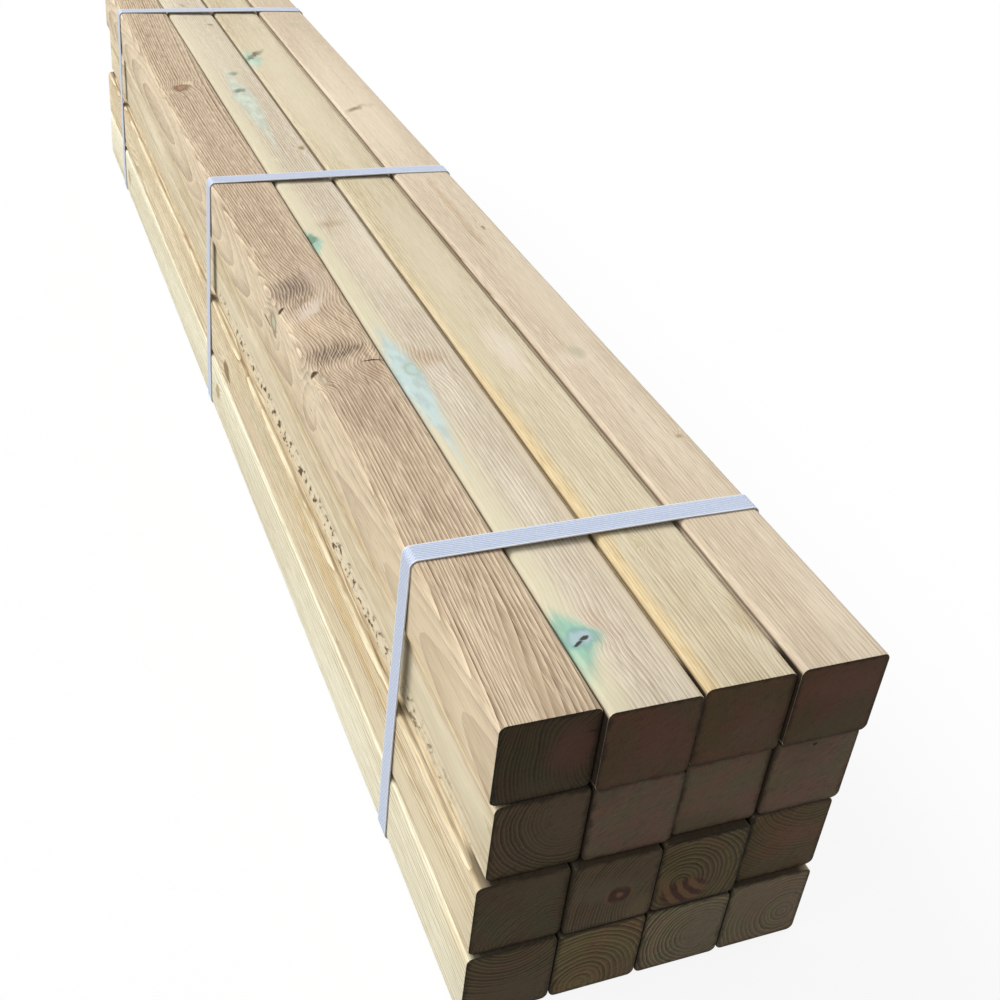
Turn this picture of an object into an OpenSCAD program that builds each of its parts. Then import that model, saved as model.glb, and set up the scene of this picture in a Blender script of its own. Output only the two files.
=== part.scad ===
// Bundle of square pine studs: layers of planed studs laid side by side and
// pulled together by plastic straps. X runs across the bundle, Y along the
// studs from the near end to the far end, and Z up from the floor. The origin
// is the middle of the bundle's footprint.

/* [Studs] */
// Nominal side of a stud's square section
stud_side = 70; // [50:1:100]
// Length of a stud
stud_length = 1800; // [1200:50:2400]
// Radius of the planed arrises
arris_radius = 5.5; // [2:0.5:12]

/* [Stacking] */
// Studs side by side in a layer
columns = 4; // [2:1:6]
// Layers on top of each other
layers = 4; // [2:1:6]
// Gap between neighbours that are pressed together in a layer
side_gap = 0.5; // [0.1:0.1:0.8]
// Gap between a stud and the one that it lies on
layer_gap = 0.5; // [0.1:0.1:0.8]
// Share of the sawing and laying differences that is kept
unevenness = 1; // [0:0.1:1]

/* [Straps] */
// Width of a strap
strap_width = 19; // [12:1:25]
// Thickness of a strap
strap_thickness = 1; // [0.6:0.1:1.5]
// Gap between a strap and the arrises that it is pulled round
strap_gap = 0.1; // [0.05:0.05:0.3]
// Distance from the near end to the middle of the first strap
near_inset = 188; // [60:1:400]
// Distance from the far end to the middle of the last strap
far_inset = 172; // [60:1:400]
// How far the middle strap lies past half way between the other two
middle_shift = 8; // [-100:1:100]
// Length of the welded overlap on a strap's right-hand run
lap_length = 60; // [20:1:120]

/* [Hidden] */
$fn = 48;
pine_color = "burlywood";
strap_color = "lavender";

// Differences of single studs in millimetres, as sawn and as laid: one row
// for each layer from the bottom up, left to right. More layers or columns
// go through the rows again.
width_offsets = [
    [0, 0.5, 1, 0.5],
    [0.5, 0, 1, 0.5],
    [0, -0.5, -1, 0],
    [2, 0, 0.5, 1]
];
height_offsets = [
    [0, -1, -1.5, 1.5],
    [0.5, 0.5, 2.5, 2.5],
    [1, 0.5, 0.5, 0.5],
    [0, 0, 0.5, 1]
];
end_offsets = [
    [-3, -3, -2.5, -2],
    [-1, -3, -2, 2],
    [2, 0.5, 3, 1],
    [3, -2, -0.5, -3]
];
// Room left open before a stud that wasn't pressed home, and the sideways
// shift of each layer
open_gaps = [
    [0, 0, 0, 0],
    [0, 0, 0, 1],
    [0, 0, 0, 0],
    [0, 0, 0, 0]
];
layer_shifts = [-3, -1.5, 3, 1.5];

last_layer = layers - 1;
last_column = columns - 1;
cells = [for (l = [0:last_layer], c = [0:last_column]) [l, c]];

function pick(table, l, c) = unevenness * table[l % len(table)][c % len(table[0])];
function stud_w(l, c) = stud_side + pick(width_offsets, l, c);
function stud_h(l, c) = stud_side + pick(height_offsets, l, c);
function gap_before(l, c) = c == 0 ? 0 : side_gap + pick(open_gaps, l, c);
function sum(list, i = 0) = i == len(list) ? 0 : list[i] + sum(list, i + 1);

// A layer is as wide as its studs and gaps. Each stud lies on the one below
// it, and the bottom layer lies on the straps.
function layer_w(l) = sum([for (c = [0:last_column]) stud_w(l, c) + gap_before(l, c)]);
function layer_left(l) = unevenness * layer_shifts[l % len(layer_shifts)] - layer_w(l) / 2;
function stud_x(l, c) = c == 0 ? layer_left(l)
    : stud_x(l, c - 1) + stud_w(l, c - 1) + gap_before(l, c);
function stud_y(l, c) = pick(end_offsets, l, c) - stud_length / 2;
function stud_z(l, c) = l == 0 ? strap_thickness + strap_gap
    : stud_z(l - 1, c) + stud_h(l - 1, c) + layer_gap;

// Centres of a stud's four arrises, in the plane of its end
function arris_centres(l, c) = [
    for (side = [0, 1], top = [0, 1]) [
        stud_x(l, c) + (side == 0 ? arris_radius : stud_w(l, c) - arris_radius),
        stud_z(l, c) + (top == 0 ? arris_radius : stud_h(l, c) - arris_radius)
    ]
];
arrises = [for (cell = cells) each arris_centres(cell[0], cell[1])];

// Outline of the stack as the straps find it: from each arris on to the one
// that leaves all others on its left, until the first one comes round again
function turn(a, b, p) = (b.x - a.x) * (p.y - a.y) - (b.y - a.y) * (p.x - a.x);
function beyond(a, b, p) =
    turn(a, b, p) < 0 || (turn(a, b, p) == 0 && norm(p - a) > norm(b - a));
function next_arris(a, best, i = 0) =
    i == len(arrises) ? best
    : next_arris(a, best == a || beyond(a, best, arrises[i]) ? arrises[i] : best, i + 1);
function outline_from(a, first) =
    let (b = next_arris(a, a)) b == first ? [a] : concat([a], outline_from(b, first));
lowest = min([for (p = arrises) p.y]);
first_arris = [min([for (p = arrises) if (p.y == lowest) p.x]), lowest];
outline = outline_from(first_arris, first_arris);

function corner(i) = outline[i % len(outline)];
function run(i) = corner(i + 1) - corner(i);
function along(i) = run(i) / norm(run(i));
function outward(i) = [along(i).y, -along(i).x];

// The straps bear on the arrises and bend round them in small steps
strap_inner_r = arris_radius + strap_gap;
strap_outer_r = strap_inner_r + strap_thickness;
bend_step = 7.5;
function run_before(i) = i + len(outline) - 1;
function bend_start(i) = let (n = outward(run_before(i))) atan2(n.y, n.x);
function bend_angle(i) =
    let (u = along(run_before(i)), v = along(i)) atan2(u.x * v.y - u.y * v.x, u * v);
function bend(i, r) =
    let (steps = max(1, ceil(bend_angle(i) / bend_step)))
    [
        for (k = [0:steps])
            let (angle = bend_start(i) + bend_angle(i) * k / steps)
            corner(i) + r * [cos(angle), sin(angle)]
    ];

// A strap's ends overlap, one on the other, on the longest run that faces right
right_runs = [for (i = [0:len(outline) - 1]) if (outward(i).x > 0.9) norm(run(i))];
lap_run = [
    for (i = [0:len(outline) - 1])
        if (outward(i).x > 0.9 && norm(run(i)) == max(right_runs)) i
][0];
lap_span = min(lap_length, norm(run(lap_run)));
lap_middle = (corner(lap_run) + corner(lap_run + 1)) / 2;
lap_step = [
    [-1, strap_outer_r], [-1, strap_outer_r + strap_thickness],
    [1, strap_outer_r + strap_thickness], [1, strap_outer_r]
];
lap = [
    for (p = lap_step) lap_middle + p[0] * along(lap_run) * lap_span / 2 + p[1] * outward(lap_run)
];
strap_inside = [for (i = [0:len(outline) - 1]) each bend(i, strap_inner_r)];
strap_outside = [
    for (i = [0:len(outline) - 1]) each concat(bend(i, strap_outer_r), i == lap_run ? lap : [])
];

// Middle of the footprint, which becomes the origin
strap_left = min([for (p = strap_outside) p.x]);
strap_right = max([for (p = strap_outside) p.x]);
x_middle = (strap_left + strap_right) / 2;
near_end = min([for (cell = cells) stud_y(cell[0], cell[1])]);
far_end = max([for (cell = cells) stud_y(cell[0], cell[1])]) + stud_length;
y_middle = (near_end + far_end) / 2;
strap_places = let (first = near_end + near_inset, last = far_end - far_inset)
    [first, (first + last) / 2 + middle_shift, last];

function stud_name(l, c) = str("stud_layer", l + 1, "_", c + 1);
strap_names = ["strap_near", "strap_middle", "strap_far"];

// Planed section with a true radius on each arris
module stud_section(w, h) {
    translate([arris_radius, 0])
        square([w - 2 * arris_radius, h]);
    translate([0, arris_radius])
        square([w, h - 2 * arris_radius]);
    for (x = [arris_radius, w - arris_radius], y = [arris_radius, h - arris_radius])
        translate([x, y])
            circle(arris_radius);
}

// Stands a drawing in the X-Z plane and draws it out along +Y
module draw_along_y(length) {
    translate([0, length, 0])
        rotate([90, 0, 0])
            linear_extrude(length)
                children();
}

module stud(l, c) {
    color(pine_color)
        translate([stud_x(l, c) - x_middle, stud_y(l, c) - y_middle, stud_z(l, c)])
            draw_along_y(stud_length)
                stud_section(stud_w(l, c), stud_h(l, c));
}

// One strap, pulled tight round the stack: the area between two outlines
module strap(i) {
    color(strap_color)
        translate([-x_middle, strap_places[i] - strap_width / 2 - y_middle, 0])
            draw_along_y(strap_width)
                difference() {
                    polygon(strap_outside);
                    polygon(strap_inside);
                }
}

for (cell = cells)
    stud(cell[0], cell[1]);
for (i = [0:len(strap_names) - 1])
    strap(i);
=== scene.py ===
import math

import bmesh
import bpy
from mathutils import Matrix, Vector


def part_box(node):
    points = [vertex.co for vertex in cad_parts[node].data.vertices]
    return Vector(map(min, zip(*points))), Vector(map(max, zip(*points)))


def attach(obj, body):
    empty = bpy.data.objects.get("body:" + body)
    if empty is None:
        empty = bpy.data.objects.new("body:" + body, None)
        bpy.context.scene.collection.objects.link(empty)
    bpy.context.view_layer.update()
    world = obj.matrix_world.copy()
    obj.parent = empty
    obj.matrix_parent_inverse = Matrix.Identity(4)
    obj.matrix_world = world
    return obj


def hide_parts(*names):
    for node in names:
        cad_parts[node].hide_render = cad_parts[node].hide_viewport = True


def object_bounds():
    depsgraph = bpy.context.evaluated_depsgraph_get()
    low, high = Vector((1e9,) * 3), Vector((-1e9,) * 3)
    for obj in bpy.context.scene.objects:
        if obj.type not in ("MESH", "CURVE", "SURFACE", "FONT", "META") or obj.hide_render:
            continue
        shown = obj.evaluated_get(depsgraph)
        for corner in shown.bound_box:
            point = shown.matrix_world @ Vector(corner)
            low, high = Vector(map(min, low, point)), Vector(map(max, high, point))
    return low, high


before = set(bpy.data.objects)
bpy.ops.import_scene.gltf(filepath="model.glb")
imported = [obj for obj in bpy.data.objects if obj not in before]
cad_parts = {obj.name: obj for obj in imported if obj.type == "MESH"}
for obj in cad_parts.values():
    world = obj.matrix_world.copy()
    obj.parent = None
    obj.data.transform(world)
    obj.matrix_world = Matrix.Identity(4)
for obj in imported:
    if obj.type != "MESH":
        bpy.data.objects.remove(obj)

cad_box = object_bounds()

# Camera: stands before the near end of the bundle, left of it and above it,
# so that the top, the left side and the sawn ends all show. It leans a little,
# as a hand-held one does.
lens = bpy.data.cameras.new("photo_camera")
lens.sensor_width = 36
lens.lens = 47.73
camera = bpy.data.objects.new("photo_camera", lens)
camera.location = (-0.4070, -1.4314, 0.8434)
camera.rotation_euler = [math.radians(angle) for angle in (56.365, -5.715, -21.174)]
bpy.context.scene.collection.objects.link(camera)
bpy.context.scene.camera = camera

# Bottom layer: four square studs of treated pine, sawn from logs, planed on
# four sides with rounded arrises and cut off square. They lie on the straps,
# side by side, and carry the other layers.
mm = 1000  # the grain is laid out in mm, the scene in metres


class Value:
    """One output of a finish's nodes, for use in expressions."""

    def __init__(self, finish, output):
        self.finish = finish
        self.output = output

    def math(self, operation, *values):
        return self.finish.node("Math", {"operation": operation}, dict(enumerate(values)))

    def __add__(self, other):
        return self.math("ADD", self, other)

    def __radd__(self, other):
        return self.math("ADD", other, self)

    def __sub__(self, other):
        return self.math("SUBTRACT", self, other)

    def __rsub__(self, other):
        return self.math("SUBTRACT", other, self)

    def __mul__(self, other):
        return self.math("MULTIPLY", self, other)

    def __rmul__(self, other):
        return self.math("MULTIPLY", other, self)

    def __truediv__(self, other):
        return self.math("DIVIDE", self, other)

    def __pow__(self, other):
        return self.math("POWER", self, other)

    def __abs__(self):
        return self.math("ABSOLUTE", self)

    def larger(self, other):
        return self.math("MAXIMUM", self, other)

    def sine(self):
        return self.math("SINE", self)


class Finish:
    """A material whose nodes are added one by one."""

    def __init__(self, name):
        self.material = bpy.data.materials.new(name)
        self.material.use_nodes = True
        self.tree = self.material.node_tree
        self.shader = self.tree.nodes["Principled BSDF"]

    def feed(self, socket, value):
        if isinstance(value, Value):
            self.tree.links.new(value.output, socket)
        else:
            socket.default_value = value

    def node(self, kind, settings=None, sockets=None, output=0):
        made = self.tree.nodes.new("ShaderNode" + kind)
        for name, value in (settings or {}).items():
            setattr(made, name, value)
        for name, value in (sockets or {}).items():
            self.feed(made.inputs[name], value)
        return Value(self, made.outputs[output])

    def surface(self, **sockets):
        for name, value in sockets.items():
            self.feed(self.shader.inputs[name.replace("_", " ")], value)

    def vector(self, operation, *values, output=0):
        return self.node("VectorMath", {"operation": operation}, dict(enumerate(values)), output)

    def split(self, vector):
        parts = self.node("SeparateXYZ", {}, {0: vector}).output.node.outputs
        return [Value(self, part) for part in parts]

    def step(self, value, start, end):
        sockets = {"Value": value, "From Min": start, "From Max": end}
        return self.node("MapRange", {"interpolation_type": "SMOOTHSTEP"}, sockets)

    def mix(self, share, under, over):
        return self.node("Mix", {"data_type": "RGBA"}, {0: share, 6: under, 7: over}, 2)

    def noise(self, place, stretch, shift, detail=2.0, output=0):
        spread = self.vector("MULTIPLY_ADD", place, stretch, shift)
        sockets = {"Vector": spread, "Scale": 1.0, "Detail": detail}
        return self.node("TexNoise", {}, sockets, output)


def paint(red, green, blue):
    """A colour as seen on a screen, 0 to 255, as the shader wants it."""
    shares = [c / 255 for c in (red, green, blue)]
    linear = [c / 12.92 if c <= 0.04045 else ((c + 0.055) / 1.055) ** 2.4 for c in shares]
    return linear + [1.0]


def mark(wood, place, spot):
    """Place seen from a spot on the stud: 1 at the spot's rim. A spot is its
    middle, its half sizes in mm and its turn about the vertical in degrees."""
    x, y, z, wide, long, high, turn = spot
    return wood.node("Mapping", {"vector_type": "TEXTURE"}, {
        "Vector": place, "Location": (x, y, z), "Scale": (wide, long, high),
        "Rotation": (0, 0, math.radians(turn)),
    })


def nearest(wood, place, spots):
    """How far off the nearest of some round spots is, 1 at its rim."""
    spans = [wood.vector("LENGTH", mark(wood, place, spot), output=1) for spot in spots]
    for span in spans[1:]:
        spans[0] = spans[0].math("MINIMUM", spans[0], span)
    return spans[0]


def wash(wood, place, colour, patches):
    """A colour with soft patches of other hues over it. A patch is its spot,
    its hue and how much of it shows."""
    for spot, hue, share in patches:
        reach = wood.step(nearest(wood, place, [spot]), 1.3, 0.3)
        colour = wood.mix(reach * share, colour, paint(*hue))
    return colour


def inward(number, facing):
    """How much a face looks at a neighbour, on stud or layer 1 to 4."""
    if number == 1:
        return facing
    return 0 - facing if number == 4 else abs(facing)


def shade(colour, share, tilt=(1, 1, 1)):
    """A colour made darker or lighter, and tilted towards another hue."""
    return paint(*[min(255, c * share * t) for c, t in zip(colour, tilt)])


def pine(stud, pith, ring, early, late, end, sway=(3, 3), wave=3.0, show=0.8,
         side_show=0.8, end_rings=0.5, bulges=(), tints=(), shadows=(), veils=(),
         stains=(), knots=(), cracks=(), torn=(), end_tints=(), end_knots=()):
    """Pine as it grew: rings round a pith, and what stands out on one stud.
    All places are in mm from the middle of the stud's near end. Bulges bend
    the rings, tints lie under them, dark grain and painted shade darken them
    and veils cover them."""
    low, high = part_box(stud)
    layer, column = int(stud[-3]), int(stud[-1])
    seed = 13.7 * layer + 5.3 * column
    wood = Finish(stud + "_pine")
    half_wide, half_long, half_high = mm * (high - low) / 2
    near = [-mm * (low.x + high.x) / 2, -mm * low.y, -mm * (low.z + high.z) / 2]
    texture = wood.node("TexCoord", output="Object")
    place = wood.node("Mapping", {}, {"Vector": texture, "Location": near,
                                      "Scale": (mm, mm, mm)})
    across, along, up = wood.split(place)
    face_x, face_y, face_z = wood.split(wood.node("TexCoord", output="Normal"))
    sawn = wood.step(abs(face_y), 0.45, 0.8)

    # the pith runs along the stud in a slow wave, and the rings round it
    turn = wood.vector("MULTIPLY_ADD", along / mm, (3.7, 0, 4.6), (0, 0, seed))
    swing = wood.vector("MULTIPLY_ADD", wood.vector("SINE", turn), (sway[0], 0, sway[1]),
                        (pith[0], 0, pith[1]))
    over, _, rise = wood.split(wood.vector("SUBTRACT", place, swing))
    drift = wood.noise(place, (0.022, 0.0035, 0.022), (seed, 0, 0), 1.0)
    ripple = wood.noise(place, (0.12, 0.012, 0.12), (0, seed, 0), 1.0)
    radius = (over * over + rise * rise) ** 0.5
    radius = radius + drift * (2 * wave) + ripple * (0.5 * wave)

    # places that stray by up to some mm, so that no outline is quite round
    rough = wood.noise(place, (0.11, 0.05, 0.11), (0, 0, seed), 2.0, 1)
    stray = wood.vector("SUBTRACT", rough, (0.5, 0.5, 0.5))
    crisp = wood.vector("MULTIPLY_ADD", stray, (3, 6, 3), place)
    loose = wood.vector("MULTIPLY_ADD", stray, (8, 14, 8), place)
    wild = wood.vector("MULTIPLY_ADD", stray, (11, 20, 11), place)

    # the rings bend round whatever the tree grew over
    for spot, lift in bulges:
        radius = radius - wood.step(nearest(wood, place, [spot]), 1.6, 0.0) * lift
    spans = [nearest(wood, wild, [knot[0]]) for knot in knots]
    for span in spans:
        radius = radius - wood.step(span, 3.4, 0.4) * 5.0

    # each ring goes from pale early wood to a dark late line
    turns = radius / ring
    uneven = wood.node("TexNoise", {"noise_dimensions": "1D"},
                       {"W": turns * 0.23 + seed, "Scale": 1.0, "Detail": 1.0})
    turns = turns + uneven * 0.9
    number = turns.math("FLOOR", turns)
    growth = turns - number
    weight = wood.node("TexWhiteNoise", {"noise_dimensions": "1D"}, {"W": number})
    line = growth ** 1.7 * (weight * 0.5 + 0.5)
    fresh = (1 - growth) ** 3.0

    # faces: tints under the rings, then fibres, and the planed haze over them
    fibre = wood.noise(place, (0.55, 0.007, 0.55), (seed, seed, 0), 2.0)
    hair = wood.noise(place, (1.2, 0.045, 1.2), (0, seed, seed), 2.0)
    tone = wood.noise(place, (0.03, 0.0022, 0.03), (0, seed, seed), 2.0)
    patch = wood.step(tone, 0.3, 0.7)
    upper = wood.step(face_z, 0.4, 0.75)
    seen = (upper * (show - side_show) + side_show) * (patch * 0.5 + 0.65)
    colour = wood.mix(patch, shade(early, 1.02), shade(early, 0.95, (1, 0.985, 0.96)))
    colour = wash(wood, loose, colour, tints)
    colour = wood.mix(fresh * 0.45, colour, shade(early, 1.07))
    colour = wood.mix(line * seen, colour, paint(*late))
    for spot, hue, share in shadows:
        reach = wood.step(nearest(wood, loose, [spot]), 1.5, 0.2)
        colour = wood.mix(reach * (growth * 0.7 + 0.3) * share, colour, paint(*hue))
    colour = wood.mix(wood.step(fibre, 0.5, 0.78) * 0.32, colour, paint(*late))
    colour = wood.mix(wood.step(hair, 0.5, 0.22) * 0.6, colour, shade(early, 1.1))
    colour = wood.mix(wood.step(hair, 0.52, 0.8) * 0.6, colour, paint(*late))
    colour = wash(wood, loose, colour, veils)

    # stains of the treatment run with the grain to a point on either side
    aside, beyond, above = wood.split(loose)
    cloud = wood.step(wood.noise(place, (0.16, 0.05, 0.16), (seed, seed, 0)), 0.35, 0.65)
    for x, y, wide, before, after, hue, share in stains:
        reach = ((y - beyond) / before).larger((beyond - y) / after)
        span = abs(aside - x) / wide + reach + (fibre - 0.5) * 0.9
        spread = wood.step(span, 1.2, 0.5) * wood.step(up, 24, 32) * (1.2 - hair * 0.6)
        copper = wood.mix(cloud, shade(hue, 0.94), shade(hue, 1.03))
        colour = wood.mix(spread * share, colour, copper)

    # knots have a core and a rim, and torn grain gets painted highlights on its
    # raised fibres and painted shade in its pits
    for (_, core, rim), span in zip(knots, spans):
        reach = wood.step(span, 1.5, 0.7) * (1.3 - fibre * 0.9)
        branch = wood.mix(wood.step(span, 0.3, 1.0), paint(*core), paint(*rim))
        colour = wood.mix(reach, colour, branch)
    if torn:
        slant = wood.node("Mapping", {}, {"Vector": place, "Rotation": (math.radians(35), 0, 0)})
        speck = wood.noise(slant, (0.1, 0.06, 0.14), (seed, 0, 0), 2.0)
        scar = wood.step(nearest(wood, loose, torn), 1.15, 0.5)
        colour = wood.mix(wood.step(speck, 0.53, 0.46) * scar * 0.5, colour, shade(early, 1.08))
        colour = wood.mix(wood.step(speck, 0.555, 0.63) * scar * 0.95, colour, paint(86, 62, 40))

    # dust and painted shade darken the arrises that are pressed against a neighbour
    beside, stacked = inward(column, face_x), inward(layer, face_z)
    lean = beside.larger(stacked)
    dust_and_shade = (wood.step(beside, 0.82, 0.99) * 0.8).larger(wood.step(stacked, 0.75, 0.97) * 0.5)
    dust_and_shade = dust_and_shade * wood.step(lean, 0.9994, 0.993)
    colour = wood.mix(dust_and_shade, colour, paint(76, 57, 38))

    # painted shade: near both ends the faces between two studs are painted dark,
    # but not the outer faces of the bundle
    fade_start, fade_end = 45, 20
    closed_shade = wood.step(abs(along - half_long), half_long - fade_start, half_long - fade_end)
    lean_start, lean_end = (0.92, 0.98) if layer == 4 else (0.55, 0.75)
    closed_shade = closed_shade * wood.step(lean, lean_start, lean_end)
    if column in (1, 4):
        inside = across if column == 1 else 0 - across
        closed_shade = closed_shade * wood.step(inside, -34, -22)
    colour = wood.mix(closed_shade * 0.9, colour, paint(38, 27, 18))

    # end grain drinks the treatment, is darker, and dries in patches; part of
    # that darkness in the end colours is painted shade
    blotch = wood.noise(place, (0.035, 0.004, 0.035), (seed, 3, seed), 2.0)
    blade = wood.node("Mapping", {}, {"Vector": place, "Rotation": (0, math.radians(35), 0)})
    grit = wood.noise(blade, (0.16, 0.02, 0.6), (3, seed, seed), 3.0)
    cut = wood.mix(wood.step(blotch, 0.38, 0.62), shade(end, 1.0, (1.06, 0.97, 0.95)),
                   shade(end, 1.0, (0.96, 1.02, 0.92)))
    cut = wood.mix(fresh * end_rings, cut, shade(end, 1.3))
    cut = wood.mix(growth * (weight * 0.7 + 0.3) * end_rings, cut,
                   shade(end, 0.35, (1, 0.93, 0.85)))
    # patches on the sawn end, some of them painted shadow in the gaps between studs
    cut = wash(wood, loose, cut, end_tints)
    cut = wood.mix(wood.step(grit, 0.5, 0.8) * 0.5, cut, shade(end, 0.6))
    cut = wood.mix(wood.step(grit, 0.45, 0.2) * 0.4, cut, shade(end, 1.25))
    deep, endless = 60, 1e6
    for x, z, wide, tall, from_x, from_z, pitch in end_knots:
        span = nearest(wood, loose, [(x, 0, z, wide, deep, tall, 0)])
        arc = nearest(wood, crisp, [(from_x, 0, from_z, pitch, endless, pitch, 0)])
        bars = wood.step(((arc - 0.25) * (2 * math.pi)).sine(), -0.7, 0.7)
        branch = wood.mix(bars, paint(124, 94, 68), paint(58, 30, 19))
        cut = wood.mix(wood.step(span, 1.3, 0.6) * 0.92, cut, branch)
    # painted shade darkens the whole rim of each sawn end
    border = (abs(aside) / half_wide).larger(abs(above) / half_high)
    cut = wood.mix(wood.step(border, 0.85, 1.02) * 0.85, cut, shade(end, 0.35))
    colour = wood.mix(sawn, colour, cut)
    if cracks:
        gap = wood.step(nearest(wood, crisp, cracks), 1.2, 0.6)
        colour = wood.mix(gap * 0.92, colour, paint(46, 32, 25))

    bump = wood.node("Bump", {}, {"Strength": 0.6, "Distance": 0.6 / mm,
                                  "Height": fibre * 0.4 + hair * 0.5})
    wood.surface(Base_Color=colour, Roughness=0.62 + fibre * 0.25, Normal=bump,
                 Specular_IOR_Level=0.15)
    return wood.material


def plane_stud(stud, **growth):
    """Planed stud: a long block, its arrises rounded and its ends eased. It
    swells here and there by about the play that is left on its sides."""
    finish = pine(stud, **growth)
    play, arris, ease, swelling = 0.0006, 0.0055, 0.0009, 0.0007
    lengths = 36
    low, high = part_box(stud)
    size = high - low - Vector((play, 0.0, play))
    bpy.ops.object.select_all(action="DESELECT")
    bpy.ops.mesh.primitive_cube_add(size=1, location=(low + high) / 2, scale=size)
    block = bpy.context.active_object
    bpy.ops.object.transform_apply(location=True, rotation=True, scale=True)
    bpy.ops.object.mode_set(mode="EDIT")
    bpy.ops.mesh.select_mode(type="EDGE")
    for share in range(1, lengths):
        bpy.ops.mesh.select_all(action="SELECT")
        station = low.y + (high.y - low.y) * share / lengths
        bpy.ops.mesh.bisect(plane_co=(0, station, 0), plane_no=(0, 1, 0))
    shape = bmesh.from_edit_mesh(block.data)
    for edge in shape.edges:
        run = edge.verts[1].co - edge.verts[0].co
        edge.select_set(abs(run.y) > 0.9 * run.length and len(edge.link_faces) == 2)
    shape.select_flush_mode()
    bmesh.update_edit_mesh(block.data)
    bpy.ops.mesh.bevel(offset=arris, segments=6, affect="EDGES")
    shape = bmesh.from_edit_mesh(block.data)
    for edge in shape.edges:
        ends = [min(abs(v.co.y - low.y), abs(v.co.y - high.y)) for v in edge.verts]
        edge.select_set(max(ends) < 1e-5)
    shape.select_flush_mode()
    bmesh.update_edit_mesh(block.data)
    bpy.ops.mesh.bevel(offset=ease, segments=2, affect="EDGES")
    bpy.ops.object.mode_set(mode="OBJECT")

    swell = bpy.data.textures.new(stud + "_swell", "CLOUDS")
    swell.noise_scale = 0.10 + 0.013 * int(stud[-1]) + 0.007 * int(stud[-3])
    uneven = block.modifiers.new("uneven", "DISPLACE")
    uneven.texture = swell
    uneven.texture_coords = "LOCAL"
    uneven.strength = swelling
    bpy.ops.object.modifier_apply(modifier="uneven")
    bpy.ops.object.shade_smooth_by_angle(angle=math.radians(35))
    block.name = block.data.name = stud + "_planed"
    block.data.materials.append(finish)
    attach(block, "root")
    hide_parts(stud)


plain_knot = ((150, 118, 86), (112, 84, 60))
plane_stud(
    "stud_layer1_1", pith=(-2, 52), ring=3.4, early=(243, 238, 214), late=(178, 156, 114),
    end=(99, 86, 66), wave=2, end_rings=0.9, side_show=0.9,
    tints=[((-35, 20, 26, 20, 40, 14, 0), (232, 212, 170), 0.5)],
    knots=[((-35, 872, 2, 20, 10, 8, 0), (190, 164, 124), (164, 138, 100)),
           ((-35, 1590, 0, 20, 13, 9, 0), (190, 172, 134), (170, 150, 114)),
           ((4, 640, -35, 8, 10, 20, 10), *plain_knot)],
    end_tints=[((4, 0, -24, 40, 60, 28, 0), (103, 89, 69), 0.85)],
)
plane_stud(
    "stud_layer1_2", pith=(-12, -24), ring=4.2, early=(226, 214, 184), late=(190, 162, 120),
    end=(129, 112, 83), end_rings=0.9,
    knots=[((-8, 310, -35, 9, 12, 20, 0), *plain_knot),
           ((12, 1220, -35, 8, 10, 20, 30), *plain_knot)],
    end_tints=[((-10, 0, -27, 17, 60, 8, 0), (150, 131, 91), 0.6),
               ((26, 0, -22, 10, 60, 14, 0), (122, 106, 82), 0.6)],
)
plane_stud(
    "stud_layer1_3", pith=(14, -2), ring=3.5, early=(224, 212, 182), late=(188, 160, 118),
    end=(141, 129, 105), end_rings=1.0,
    knots=[((5, 860, -35, 10, 12, 20, -20), *plain_knot)],
    end_tints=[((18, 0, -2, 26, 60, 34, 0), (133, 121, 99), 0.95)],
)
plane_stud(
    "stud_layer1_4", pith=(19, -8), ring=3.9, early=(225, 213, 185), late=(192, 166, 124),
    end=(139, 124, 104), end_rings=0.6,
    knots=[((35, 420, 4, 20, 12, 10, 0), *plain_knot),
           ((35, 1330, -9, 20, 10, 9, 0), *plain_knot),
           ((-6, 520, -35, 9, 11, 20, 0), *plain_knot)],
    end_tints=[((-16, 0, 12, 22, 60, 26, 0), (131, 119, 99), 0.7),
               ((24, 0, 0, 12, 60, 24, 0), (142, 118, 103), 0.5)],
)

# Second layer: four more studs of the same stock, each laid on the one below.
# Two of them were cut off through a branch, which leaves a red-brown knot in
# the sawn end.
plane_stud(
    "stud_layer2_1", pith=(27, -45), ring=2.9, early=(236, 222, 190), late=(150, 118, 74),
    end=(88, 78, 60), end_rings=0.6, wave=8, side_show=1.0,
    tints=[((-35, 370, 16, 20, 200, 9, 0), (232, 200, 144), 0.8),
           ((-35, 630, 10, 20, 120, 10, 0), (206, 206, 178), 0.7)],
    shadows=[((-35, 180, 12, 20, 190, 4, 0), (170, 138, 92), 0.7),
             ((-35, 560, 4, 20, 160, 3, 0), (176, 146, 100), 0.6)],
    veils=[((-35, 150, -16, 20, 260, 15, 0), (226, 213, 182), 0.7),
           ((-35, 680, -18, 20, 120, 14, 0), (222, 202, 174), 0.7)],
    knots=[((-35, 820, -14, 20, 15, 9, 0), (140, 112, 78), (112, 86, 58))],
    end_tints=[((16, 0, 22, 26, 60, 18, 0), (95, 82, 64), 0.6)],
)
plane_stud(
    "stud_layer2_2", pith=(66, -24), ring=2.6, early=(224, 211, 180), late=(190, 162, 120),
    end=(98, 85, 66), end_rings=0.9,
    end_tints=[((26, 0, -24, 14, 60, 14, 0), (118, 101, 76), 0.85),
               ((-8, 0, 4, 26, 60, 14, 0), (106, 95, 76), 0.8)],
    end_knots=[(6, -5, 12, 8, 6, -5, 12)],
)
plane_stud(
    "stud_layer2_3", pith=(-14, -8), ring=3.7, early=(222, 208, 174), late=(188, 158, 112),
    end=(104, 91, 66), end_rings=1.0,
    end_tints=[((-30, 0, -10, 9, 60, 16, 0), (122, 99, 70), 0.7),
               # the near-black strip along the top of this end is painted shadow in the gap
               # above it
               ((0, 0, 36, 60, 60, 4, 0), (20, 14, 9), 0.95)],
    end_knots=[(-10, -22, 19, 15, 14, -4, 10)],
)
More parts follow.
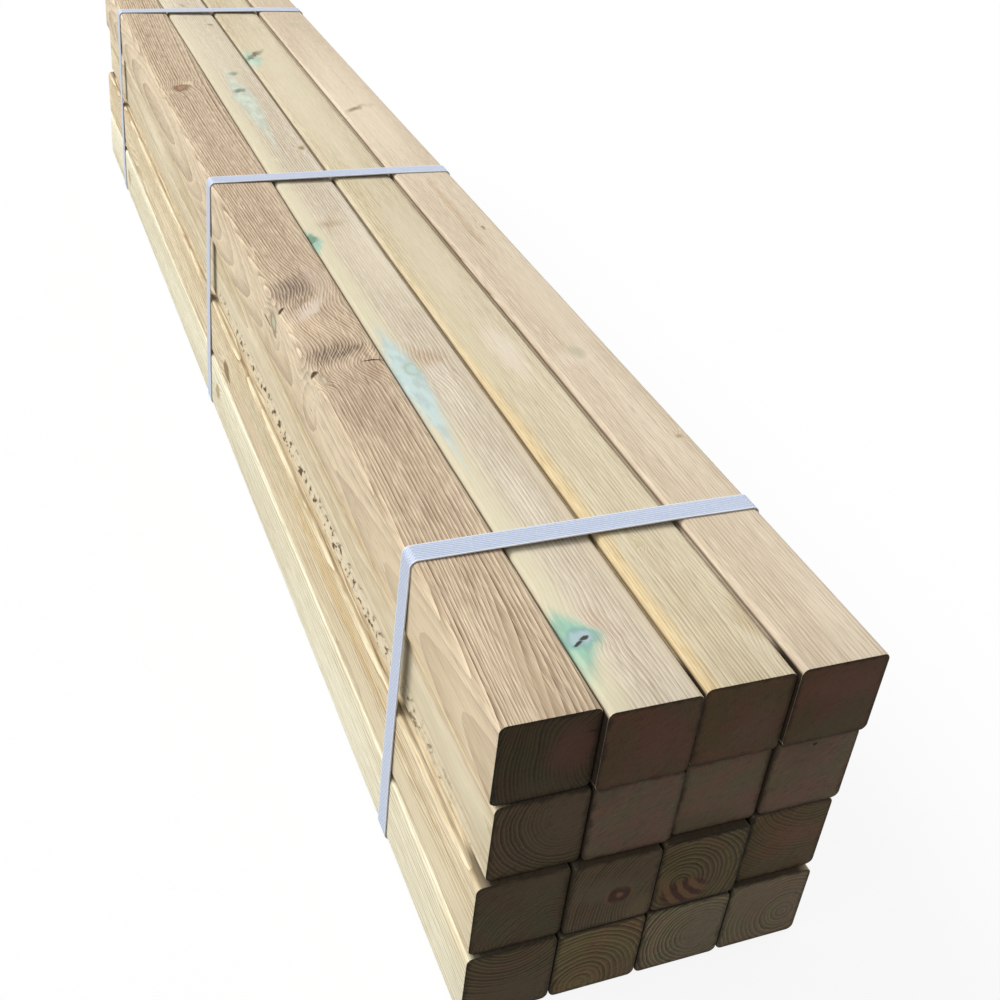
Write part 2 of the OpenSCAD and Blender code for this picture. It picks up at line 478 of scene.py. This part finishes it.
plane_stud(
    "stud_layer2_4", pith=(22, 60), ring=2.9, early=(225, 211, 181), late=(194, 168, 126),
    end=(103, 86, 65), end_rings=0.6,
    knots=[((35, 690, -6, 20, 11, 9, 0), *plain_knot),
           ((35, 1480, 8, 20, 12, 10, 0), *plain_knot)],
    end_tints=[((10, 0, 5, 26, 60, 12, 0), (122, 90, 70), 0.7),
               ((0, 0, -26, 34, 60, 12, 0), (99, 87, 66), 0.7),
               # the near-black strip along the left of this end is painted shadow in the gap
               # beside it
               ((-36, 0, 0, 5, 60, 80, 0), (20, 14, 9), 0.95)],
)

# Third layer: laid a little further right than the others, so that the layer
# below stands proud on the left. The planer tore the grain along the lower
# left arris of its left stud.
plane_stud(
    "stud_layer3_1", pith=(24, 12), ring=3.2, early=(225, 213, 185), late=(168, 142, 100),
    end=(91, 78, 60), end_rings=0.9, sway=(2, 3), side_show=0.7,
    tints=[((-35, 80, -31, 20, 150, 5, 0), (238, 222, 188), 0.6)],
    shadows=[((-35, 500, 28, 20, 700, 7, 0), (186, 158, 112), 0.6)],
    veils=[((-35, 90, 2, 20, 160, 20, 0), (218, 207, 178), 0.6),
           ((-35, 700, -4, 20, 260, 12, 0), (222, 208, 180), 0.5)],
    torn=[(-35, 480, -22, 16, 480, 14, 0), (-35, 60, -31, 16, 200, 5, 0)],
    end_tints=[((22, 0, 12, 32, 60, 34, 0), (101, 84, 66), 0.95)],
)
plane_stud(
    "stud_layer3_2", pith=(30, -90), ring=2.6, early=(224, 210, 180), late=(192, 164, 124),
    end=(116, 99, 85), end_rings=0.12,
    end_tints=[((-24, 0, 26, 14, 60, 10, 0), (103, 89, 74), 0.7)],
)
plane_stud(
    "stud_layer3_3", pith=(-90, 20), ring=2.6, early=(223, 210, 178), late=(190, 162, 120),
    end=(118, 101, 86), end_rings=0.12,
    end_tints=[((-16, 0, -26, 34, 60, 12, 0), (104, 94, 72), 0.8)],
)
plane_stud(
    "stud_layer3_4", pith=(10, -100), ring=2.8, early=(226, 212, 184), late=(194, 168, 128),
    end=(118, 101, 86), end_rings=0.12,
    knots=[((35, 560, 6, 20, 10, 9, 0), *plain_knot),
           ((35, 1180, -10, 20, 12, 10, 0), *plain_knot)],
    cracks=[(-2, 0, 28, 2.0, 30, 1.6, 0)],
    end_tints=[((-10, 0, 20, 22, 60, 18, 0), (112, 91, 80), 0.5)],
)

# Top layer: the studs that show most. The first is reddish heartwood with
# close straight grain and a pair of grown-over branches, and the others are
# pale, with knots that the copper treatment has stained blue-green.
plane_stud(
    "stud_layer4_1", pith=(62, -6), ring=2.8, early=(228, 211, 182), late=(114, 86, 66),
    end=(72, 62, 45), sway=(12, 3), wave=1.0, end_rings=0.95, show=1.1, side_show=0.5,
    tints=[((0, 900, 40, 70, 1600, 10, 0), (187, 164, 139), 0.95),
           ((-35, 160, -29, 20, 220, 7, 0), (230, 202, 152), 0.6),
           # these three pale patches on the whorl are painted sheen on the ridges of its rippled
           # grain
           ((-15, 464, 35, 20, 8, 30, 13), (218, 198, 170), 0.5),
           ((-14, 545, 35, 22, 24, 30, 20), (222, 199, 168), 0.7),
           ((-5, 582, 35, 38, 9, 30, 52), (220, 204, 186), 0.9)],
    # the first four dark zones, on the whorl, are its own darker grain and painted shade in the
    # hollows of its ripples
    shadows=[((-10, 488, 35, 34, 17, 30, 30), (80, 58, 50), 0.95),
             ((-12, 624, 35, 38, 19, 30, 50), (90, 72, 68), 0.95),
             ((8, 490, 35, 17, 5, 20, 35), (60, 40, 32), 0.95),
             ((-8, 597, 35, 26, 5, 20, 52), (134, 112, 96), 0.8),
             ((-10, 400, 35, 30, 60, 20, 0), (140, 112, 98), 0.45),
             ((22, 452, 35, 12, 26, 20, 0), (146, 114, 88), 0.5),
             ((4, 20, 35, 7, 34, 20, 0), (150, 120, 88), 0.5)],
    bulges=[((-6, -10, 35, 16, 140, 20, 0), 8),
            ((6, 464, 35, 46, 27, 60, 8), 11), ((8, 508, 35, 46, 30, 60, 20), -7),
            ((6, 580, 35, 46, 30, 60, 45), 6), ((6, 638, 35, 46, 36, 60, 50), -9)],
    knots=[((-35, 597, 13, 20, 12, 9, 0), (190, 188, 166), (140, 122, 94)),
           ((-28, 441, 35, 4, 7, 20, 0), (198, 186, 164), (170, 150, 124)),
           ((-7, 1250, 35, 9, 14, 20, -35), (158, 122, 94), (112, 82, 62))],
    veils=[((3, 1268, 35, 7, 15, 20, -35), (226, 204, 172), 0.6),
           # this pale band across the whorl is painted sheen on a ridge of its grain
           ((-4, 576, 35, 30, 6, 30, 52), (216, 200, 182), 0.8),
           ((18, 640, 35, 14, 46, 20, 0), (208, 189, 169), 0.45),
           ((1, 40, 35, 9, 70, 20, 0), (198, 176, 148), 0.5),
           ((-35, 110, -2, 20, 190, 27, 0), (214, 194, 162), 0.5)],
    cracks=[(-34, 455, 34, 5, 4, 5, 0), (-33, 580, 34, 6, 2.5, 4, 50),
            (-35, 622, 4, 6, 16, 1.3, 0), (24, 469, 35, 11, 1.2, 12, 4),
            (32, 0, 16, 5, 20, 1.4, 0)],
    end_tints=[((20, 0, 4, 21, 60, 26, 0), (99, 70, 57), 0.95),
               ((2, 0, -26, 24, 60, 10, 0), (76, 66, 48), 0.7)],
)
plane_stud(
    "stud_layer4_2", pith=(-120, -30), ring=2.9, early=(220, 210, 191), late=(150, 127, 102),
    end=(93, 72, 56), end_rings=0.12, show=0.75, wave=2.5,
    tints=[((5, 240, 35, 12, 70, 20, 0), (238, 230, 212), 0.6),
           ((5, 420, 35, 14, 70, 20, 0), (238, 230, 212), 0.6),
           ((-2, 785, 35, 6, 26, 20, -15), (182, 160, 124), 0.6)],
    shadows=[((-3, 86, 35, 9, 18, 20, 10), (186, 156, 136), 0.6),
             ((4, 474, 35, 16, 18, 20, 35), (168, 134, 104), 0.8),
             ((-2, 784, 35, 22, 8, 20, 12), (148, 124, 90), 0.7)],
    veils=[((-28, 500, 35, 17, 1500, 20, 0), (217, 208, 178), 0.75),
           ((31, 200, 35, 10, 400, 20, 0), (214, 199, 174), 0.65),
           ((14, 690, 35, 24, 120, 20, 0), (226, 213, 188), 0.5),
           ((0, 1450, 35, 40, 200, 20, 0), (222, 210, 184), 0.4)],
    bulges=[((-25, 73, 35, 34, 45, 40, 0), -7), ((-18, 455, 35, 36, 32, 40, 0), -8)],
    stains=[(-30, 76, 27, 48, 32, (144, 190, 170), 1.0),
            (-31, 30, 6, 26, 40, (208, 212, 182), 0.4),
            (-24, 440, 19, 150, 112, (186, 207, 207), 0.95),
            (-33, 742, 13, 34, 34, (150, 196, 178), 0.9),
            (-4, 1215, 17, 210, 140, (202, 213, 198), 0.85)],
    knots=[((-22, 73, 35, 11, 9, 20, 0), (172, 190, 198), (132, 168, 160)),
           ((-17, 454, 35, 7, 9, 20, 0), (184, 204, 198), (170, 184, 168)),
           ((-34, 749, 35, 6, 8, 20, 0), (106, 138, 118), (112, 132, 108)),
           ((25, 1022, 35, 3.5, 6, 20, 0), (150, 128, 94), (184, 166, 130)),
           ((-4, 1245, 35, 5, 12, 20, -40), (116, 126, 112), (150, 158, 142)),
           ((4, 1322, 35, 5, 10, 20, -40), (140, 146, 124), (172, 178, 156)),
           ((20, 1567, 35, 4, 8, 20, 0), (150, 132, 98), (184, 168, 134)),
           ((-3, 1680, 35, 5, 10, 20, 0), (170, 158, 128), (196, 182, 148))],
    cracks=[(-26, 68, 35, 4.5, 1.7, 20, 25), (-20, 72, 35, 4.5, 1.7, 20, 25)],
    end_tints=[((6, 0, 4, 24, 60, 26, 0), (104, 74, 61), 0.9),
               ((-28, 0, -8, 10, 60, 24, 0), (87, 72, 48), 0.8)],
)
plane_stud(
    "stud_layer4_3", pith=(-130, -20), ring=2.8, early=(214, 203, 176), late=(152, 128, 93),
    end=(94, 75, 57), end_rings=0.12, show=0.7, wave=2.5,
    tints=[((-32, 150, 32, 10, 620, 12, 0), (224, 196, 142), 0.75),
           ((-20, 860, 35, 14, 300, 20, 0), (198, 184, 144), 0.5),
           ((-10, 1300, 35, 14, 30, 20, 0), (212, 190, 152), 0.6)],
    shadows=[((28, 62, 35, 8, 22, 20, 0), (168, 140, 98), 0.7)],
    veils=[((-18, 520, 35, 16, 160, 20, 0), (208, 197, 166), 0.6),
           ((8, 470, 35, 16, 60, 20, 0), (228, 215, 198), 0.6),
           ((6, 700, 35, 30, 180, 20, 0), (215, 202, 176), 0.6),
           ((0, 1250, 35, 40, 350, 20, 0), (217, 205, 178), 0.65)],
    bulges=[((29, 62, 35, 14, 34, 30, 0), 7)],
    stains=[(-28, 1380, 22, 46, 48, (178, 206, 188), 0.85)],
    knots=[((-19, 1400, 35, 5, 26, 20, -35), (108, 100, 80), (160, 152, 124)),
           ((-30, 1384, 35, 5, 10, 20, -35), (112, 124, 108), (150, 168, 148)),
           ((-6, 160, 35, 3, 4, 20, 0), (192, 186, 148), (190, 180, 142))],
    end_tints=[((14, 0, -6, 24, 60, 22, 0), (103, 79, 63), 0.8),
               ((-24, 0, 10, 12, 60, 26, 0), (89, 76, 51), 0.7)],
)
plane_stud(
    "stud_layer4_4", pith=(140, -30), ring=2.7, early=(216, 202, 180), late=(166, 142, 116),
    end=(93, 72, 56), end_rings=0.12, show=0.6, wave=2.5,
    tints=[((-12, 440, 35, 14, 20, 20, 0), (230, 216, 196), 0.6),
           ((0, 820, 35, 4, 130, 20, 0), (190, 162, 126), 0.6),
           ((8, 1160, 35, 14, 9, 25, 20), (166, 158, 132), 0.8),
           ((2, 1290, 35, 1.6, 130, 20, 0), (168, 138, 104), 0.6),
           ((3, 1550, 35, 8, 14, 25, -30), (182, 184, 164), 0.8)],
    shadows=[((-2, 725, 35, 3, 45, 20, 3), (150, 126, 98), 0.6)],
    veils=[((-2, 450, 35, 8, 14, 20, 0), (184, 176, 152), 0.75),
           ((10, 560, 35, 26, 100, 20, 0), (216, 201, 178), 0.5),
           ((0, 1200, 35, 40, 280, 20, 0), (228, 213, 188), 0.5)],
    knots=[((14, 742, 35, 3, 6, 20, 0), (150, 130, 104), (180, 162, 136)),
           ((25, 292, 35, 3, 4, 20, 0), (166, 148, 116), (190, 174, 146)),
           ((-15, 1146, 35, 6, 19, 25, -40), (134, 118, 90), (176, 164, 136)),
           ((35, 300, -5, 20, 10, 9, 0), *plain_knot),
           ((35, 980, 10, 20, 12, 10, 0), *plain_knot)],
    end_tints=[((2, 0, 14, 34, 60, 16, 0), (108, 78, 65), 0.9),
               ((0, 0, -26, 40, 60, 12, 0), (84, 75, 51), 0.9)],
)

# Straps: three lengths of woven-look plastic band, drawn tight round the stack
# by a tensioning tool, lapped on the right-hand side and welded there. Rollers
# press a fine slanting hatch into the band so that it grips.
hatch_across, hatch_along, rib_turn = 1.16, 2.0, 3.4
weld_half, rim_inside, rim_outside = 14, 7.9, 9.0
skin = 0.0003
for strap in ("strap_near", "strap_middle", "strap_far"):
    low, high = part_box(strap)
    band = Finish(strap + "_band")
    texture = band.node("TexCoord", output="Object")
    middle = [-mm * (low.x + high.x) / 2, -mm * (low.y + high.y) / 2, -mm * low.z]
    place = band.node("Mapping", {}, {"Vector": texture, "Location": middle,
                                      "Scale": (mm, mm, mm)})
    x, y, z = band.split(place)
    face_x, _, face_z = band.split(band.node("TexCoord", output="Normal"))
    ridge = ((x * face_z - z * face_x) * hatch_across + y * hatch_along).sine()
    lap = [mm * (corner.co.z - low.z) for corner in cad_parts[strap].data.vertices
           if corner.co.x > high.x - skin]
    weld = band.step(abs(z - sum(lap) / len(lap)), weld_half + 1, weld_half - 1)
    weld = weld * band.step(face_x, 0.7, 0.9)
    ribs = (z * rib_turn).sine()
    ridge = (ridge + (ribs - ridge) * weld) * (abs(face_z) * 0.6 + 0.4)
    rim = band.step(abs(y), rim_inside, rim_outside)
    worn = band.noise(place, (0.05, 0.2, 0.05), (3, 1, 2), 3.0)
    grain = band.noise(place, (0.9, 0.9, 0.9), (0, 2, 5), 2.0)
    colour = band.mix(worn, paint(188, 198, 214), paint(204, 212, 224))
    # the hatch's grooves are painted darker, as painted shade of the pressed pattern, weaker on
    # the upright runs
    colour = band.mix(band.step(ridge, -0.9, 0.9) * 0.75, colour, paint(154, 169, 205))
    colour = band.mix(band.step(grain, 0.5, 0.75) * 0.5, colour, paint(226, 230, 236))
    colour = band.mix(rim * 0.7, colour, paint(228, 231, 238))
    bump = band.node("Bump", {}, {"Strength": 0.5, "Distance": 0.3 / mm,
                                  "Height": ridge * (1 - rim)})
    band.surface(Base_Color=colour, Roughness=0.34 + worn * 0.2, Normal=bump)
    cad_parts[strap].data.materials.clear()
    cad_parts[strap].data.materials.append(band.material)

# Floor: a plain pale studio floor under the bundle. It shows white to the
# camera with a faint shadow, dark under the bundle itself, and gives little
# light back to the sawn ends.
bpy.ops.object.select_all(action="DESELECT")
bounce, bright, glow = 0.23, 0.9, 0.88
bpy.ops.mesh.primitive_plane_add(size=40, location=(0, 0, 0))
floor = bpy.context.active_object
floor.name = floor.data.name = "studio_floor"
ground = Finish("studio_floor_white")
seen = ground.node("LightPath", output="Is Camera Ray")
mirrored = ground.node("LightPath", output="Is Glossy Ray")
shown = seen.larger(mirrored)
pale = ground.mix(shown, (bounce, bounce, bounce, 1.0), (bright, bright, bright, 1.0))
ground.surface(Base_Color=pale, Roughness=0.9)
white = ground.tree.nodes.new("ShaderNodeEmission")
both = ground.tree.nodes.new("ShaderNodeMixShader")
x, y, _ = ground.split(ground.node("TexCoord", output="Object"))
half_wide, half_long, _ = cad_box[1]
beside = ground.step(abs(x), half_wide - 0.014, half_wide - 0.004)
beyond = ground.step(abs(y), half_long - 0.04, half_long - 0.01)
ground.feed(both.inputs[0], shown * glow * beside.larger(beyond))
ground.tree.links.new(ground.shader.outputs[0], both.inputs[1])
ground.tree.links.new(white.outputs[0], both.inputs[2])
ground.tree.links.new(both.outputs[0], ground.tree.nodes["Material Output"].inputs[0])
floor.data.materials.append(ground.material)

# Studio light: one broad soft lamp high on the far left, a weaker one on the
# left and one on the right. The sawn near end stays in shade.
for name, toward, strength, spread in (
    ("key_lamp", (-0.50, 0.55, 0.67), 2.35, 32),
    ("left_lamp", (-0.86, 0.10, 0.50), 1.2, 70),
    ("right_lamp", (0.80, 0.25, 0.45), 0.8, 60),
):
    lamp = bpy.data.lights.new(name, "SUN")
    lamp.energy = strength
    lamp.angle = math.radians(spread)
    holder = bpy.data.objects.new(name, lamp)
    holder.rotation_euler = Vector(toward).to_track_quat("Z", "Y").to_euler()
    bpy.context.scene.collection.objects.link(holder)
room = bpy.data.worlds.new("white_room")
bpy.context.scene.world = room
room.use_nodes = True
sky = room.node_tree.nodes["Background"]
sky.inputs["Color"].default_value = (1.0, 1.0, 1.0, 1.0)
path = room.node_tree.nodes.new("ShaderNodeLightPath")
level = room.node_tree.nodes.new("ShaderNodeMapRange")
level.inputs["To Min"].default_value = 0.3
shown = path.outputs["Is Camera Ray"]
for ray in ("Is Glossy Ray", "Is Transmission Ray"):
    either = room.node_tree.nodes.new("ShaderNodeMath")
    either.operation = "MAXIMUM"
    room.node_tree.links.new(shown, either.inputs[0])
    room.node_tree.links.new(path.outputs[ray], either.inputs[1])
    shown = either.outputs[0]
room.node_tree.links.new(shown, level.inputs["Value"])
room.node_tree.links.new(level.outputs[0], sky.inputs["Strength"])

bpy.context.scene.view_settings.view_transform = "Standard"
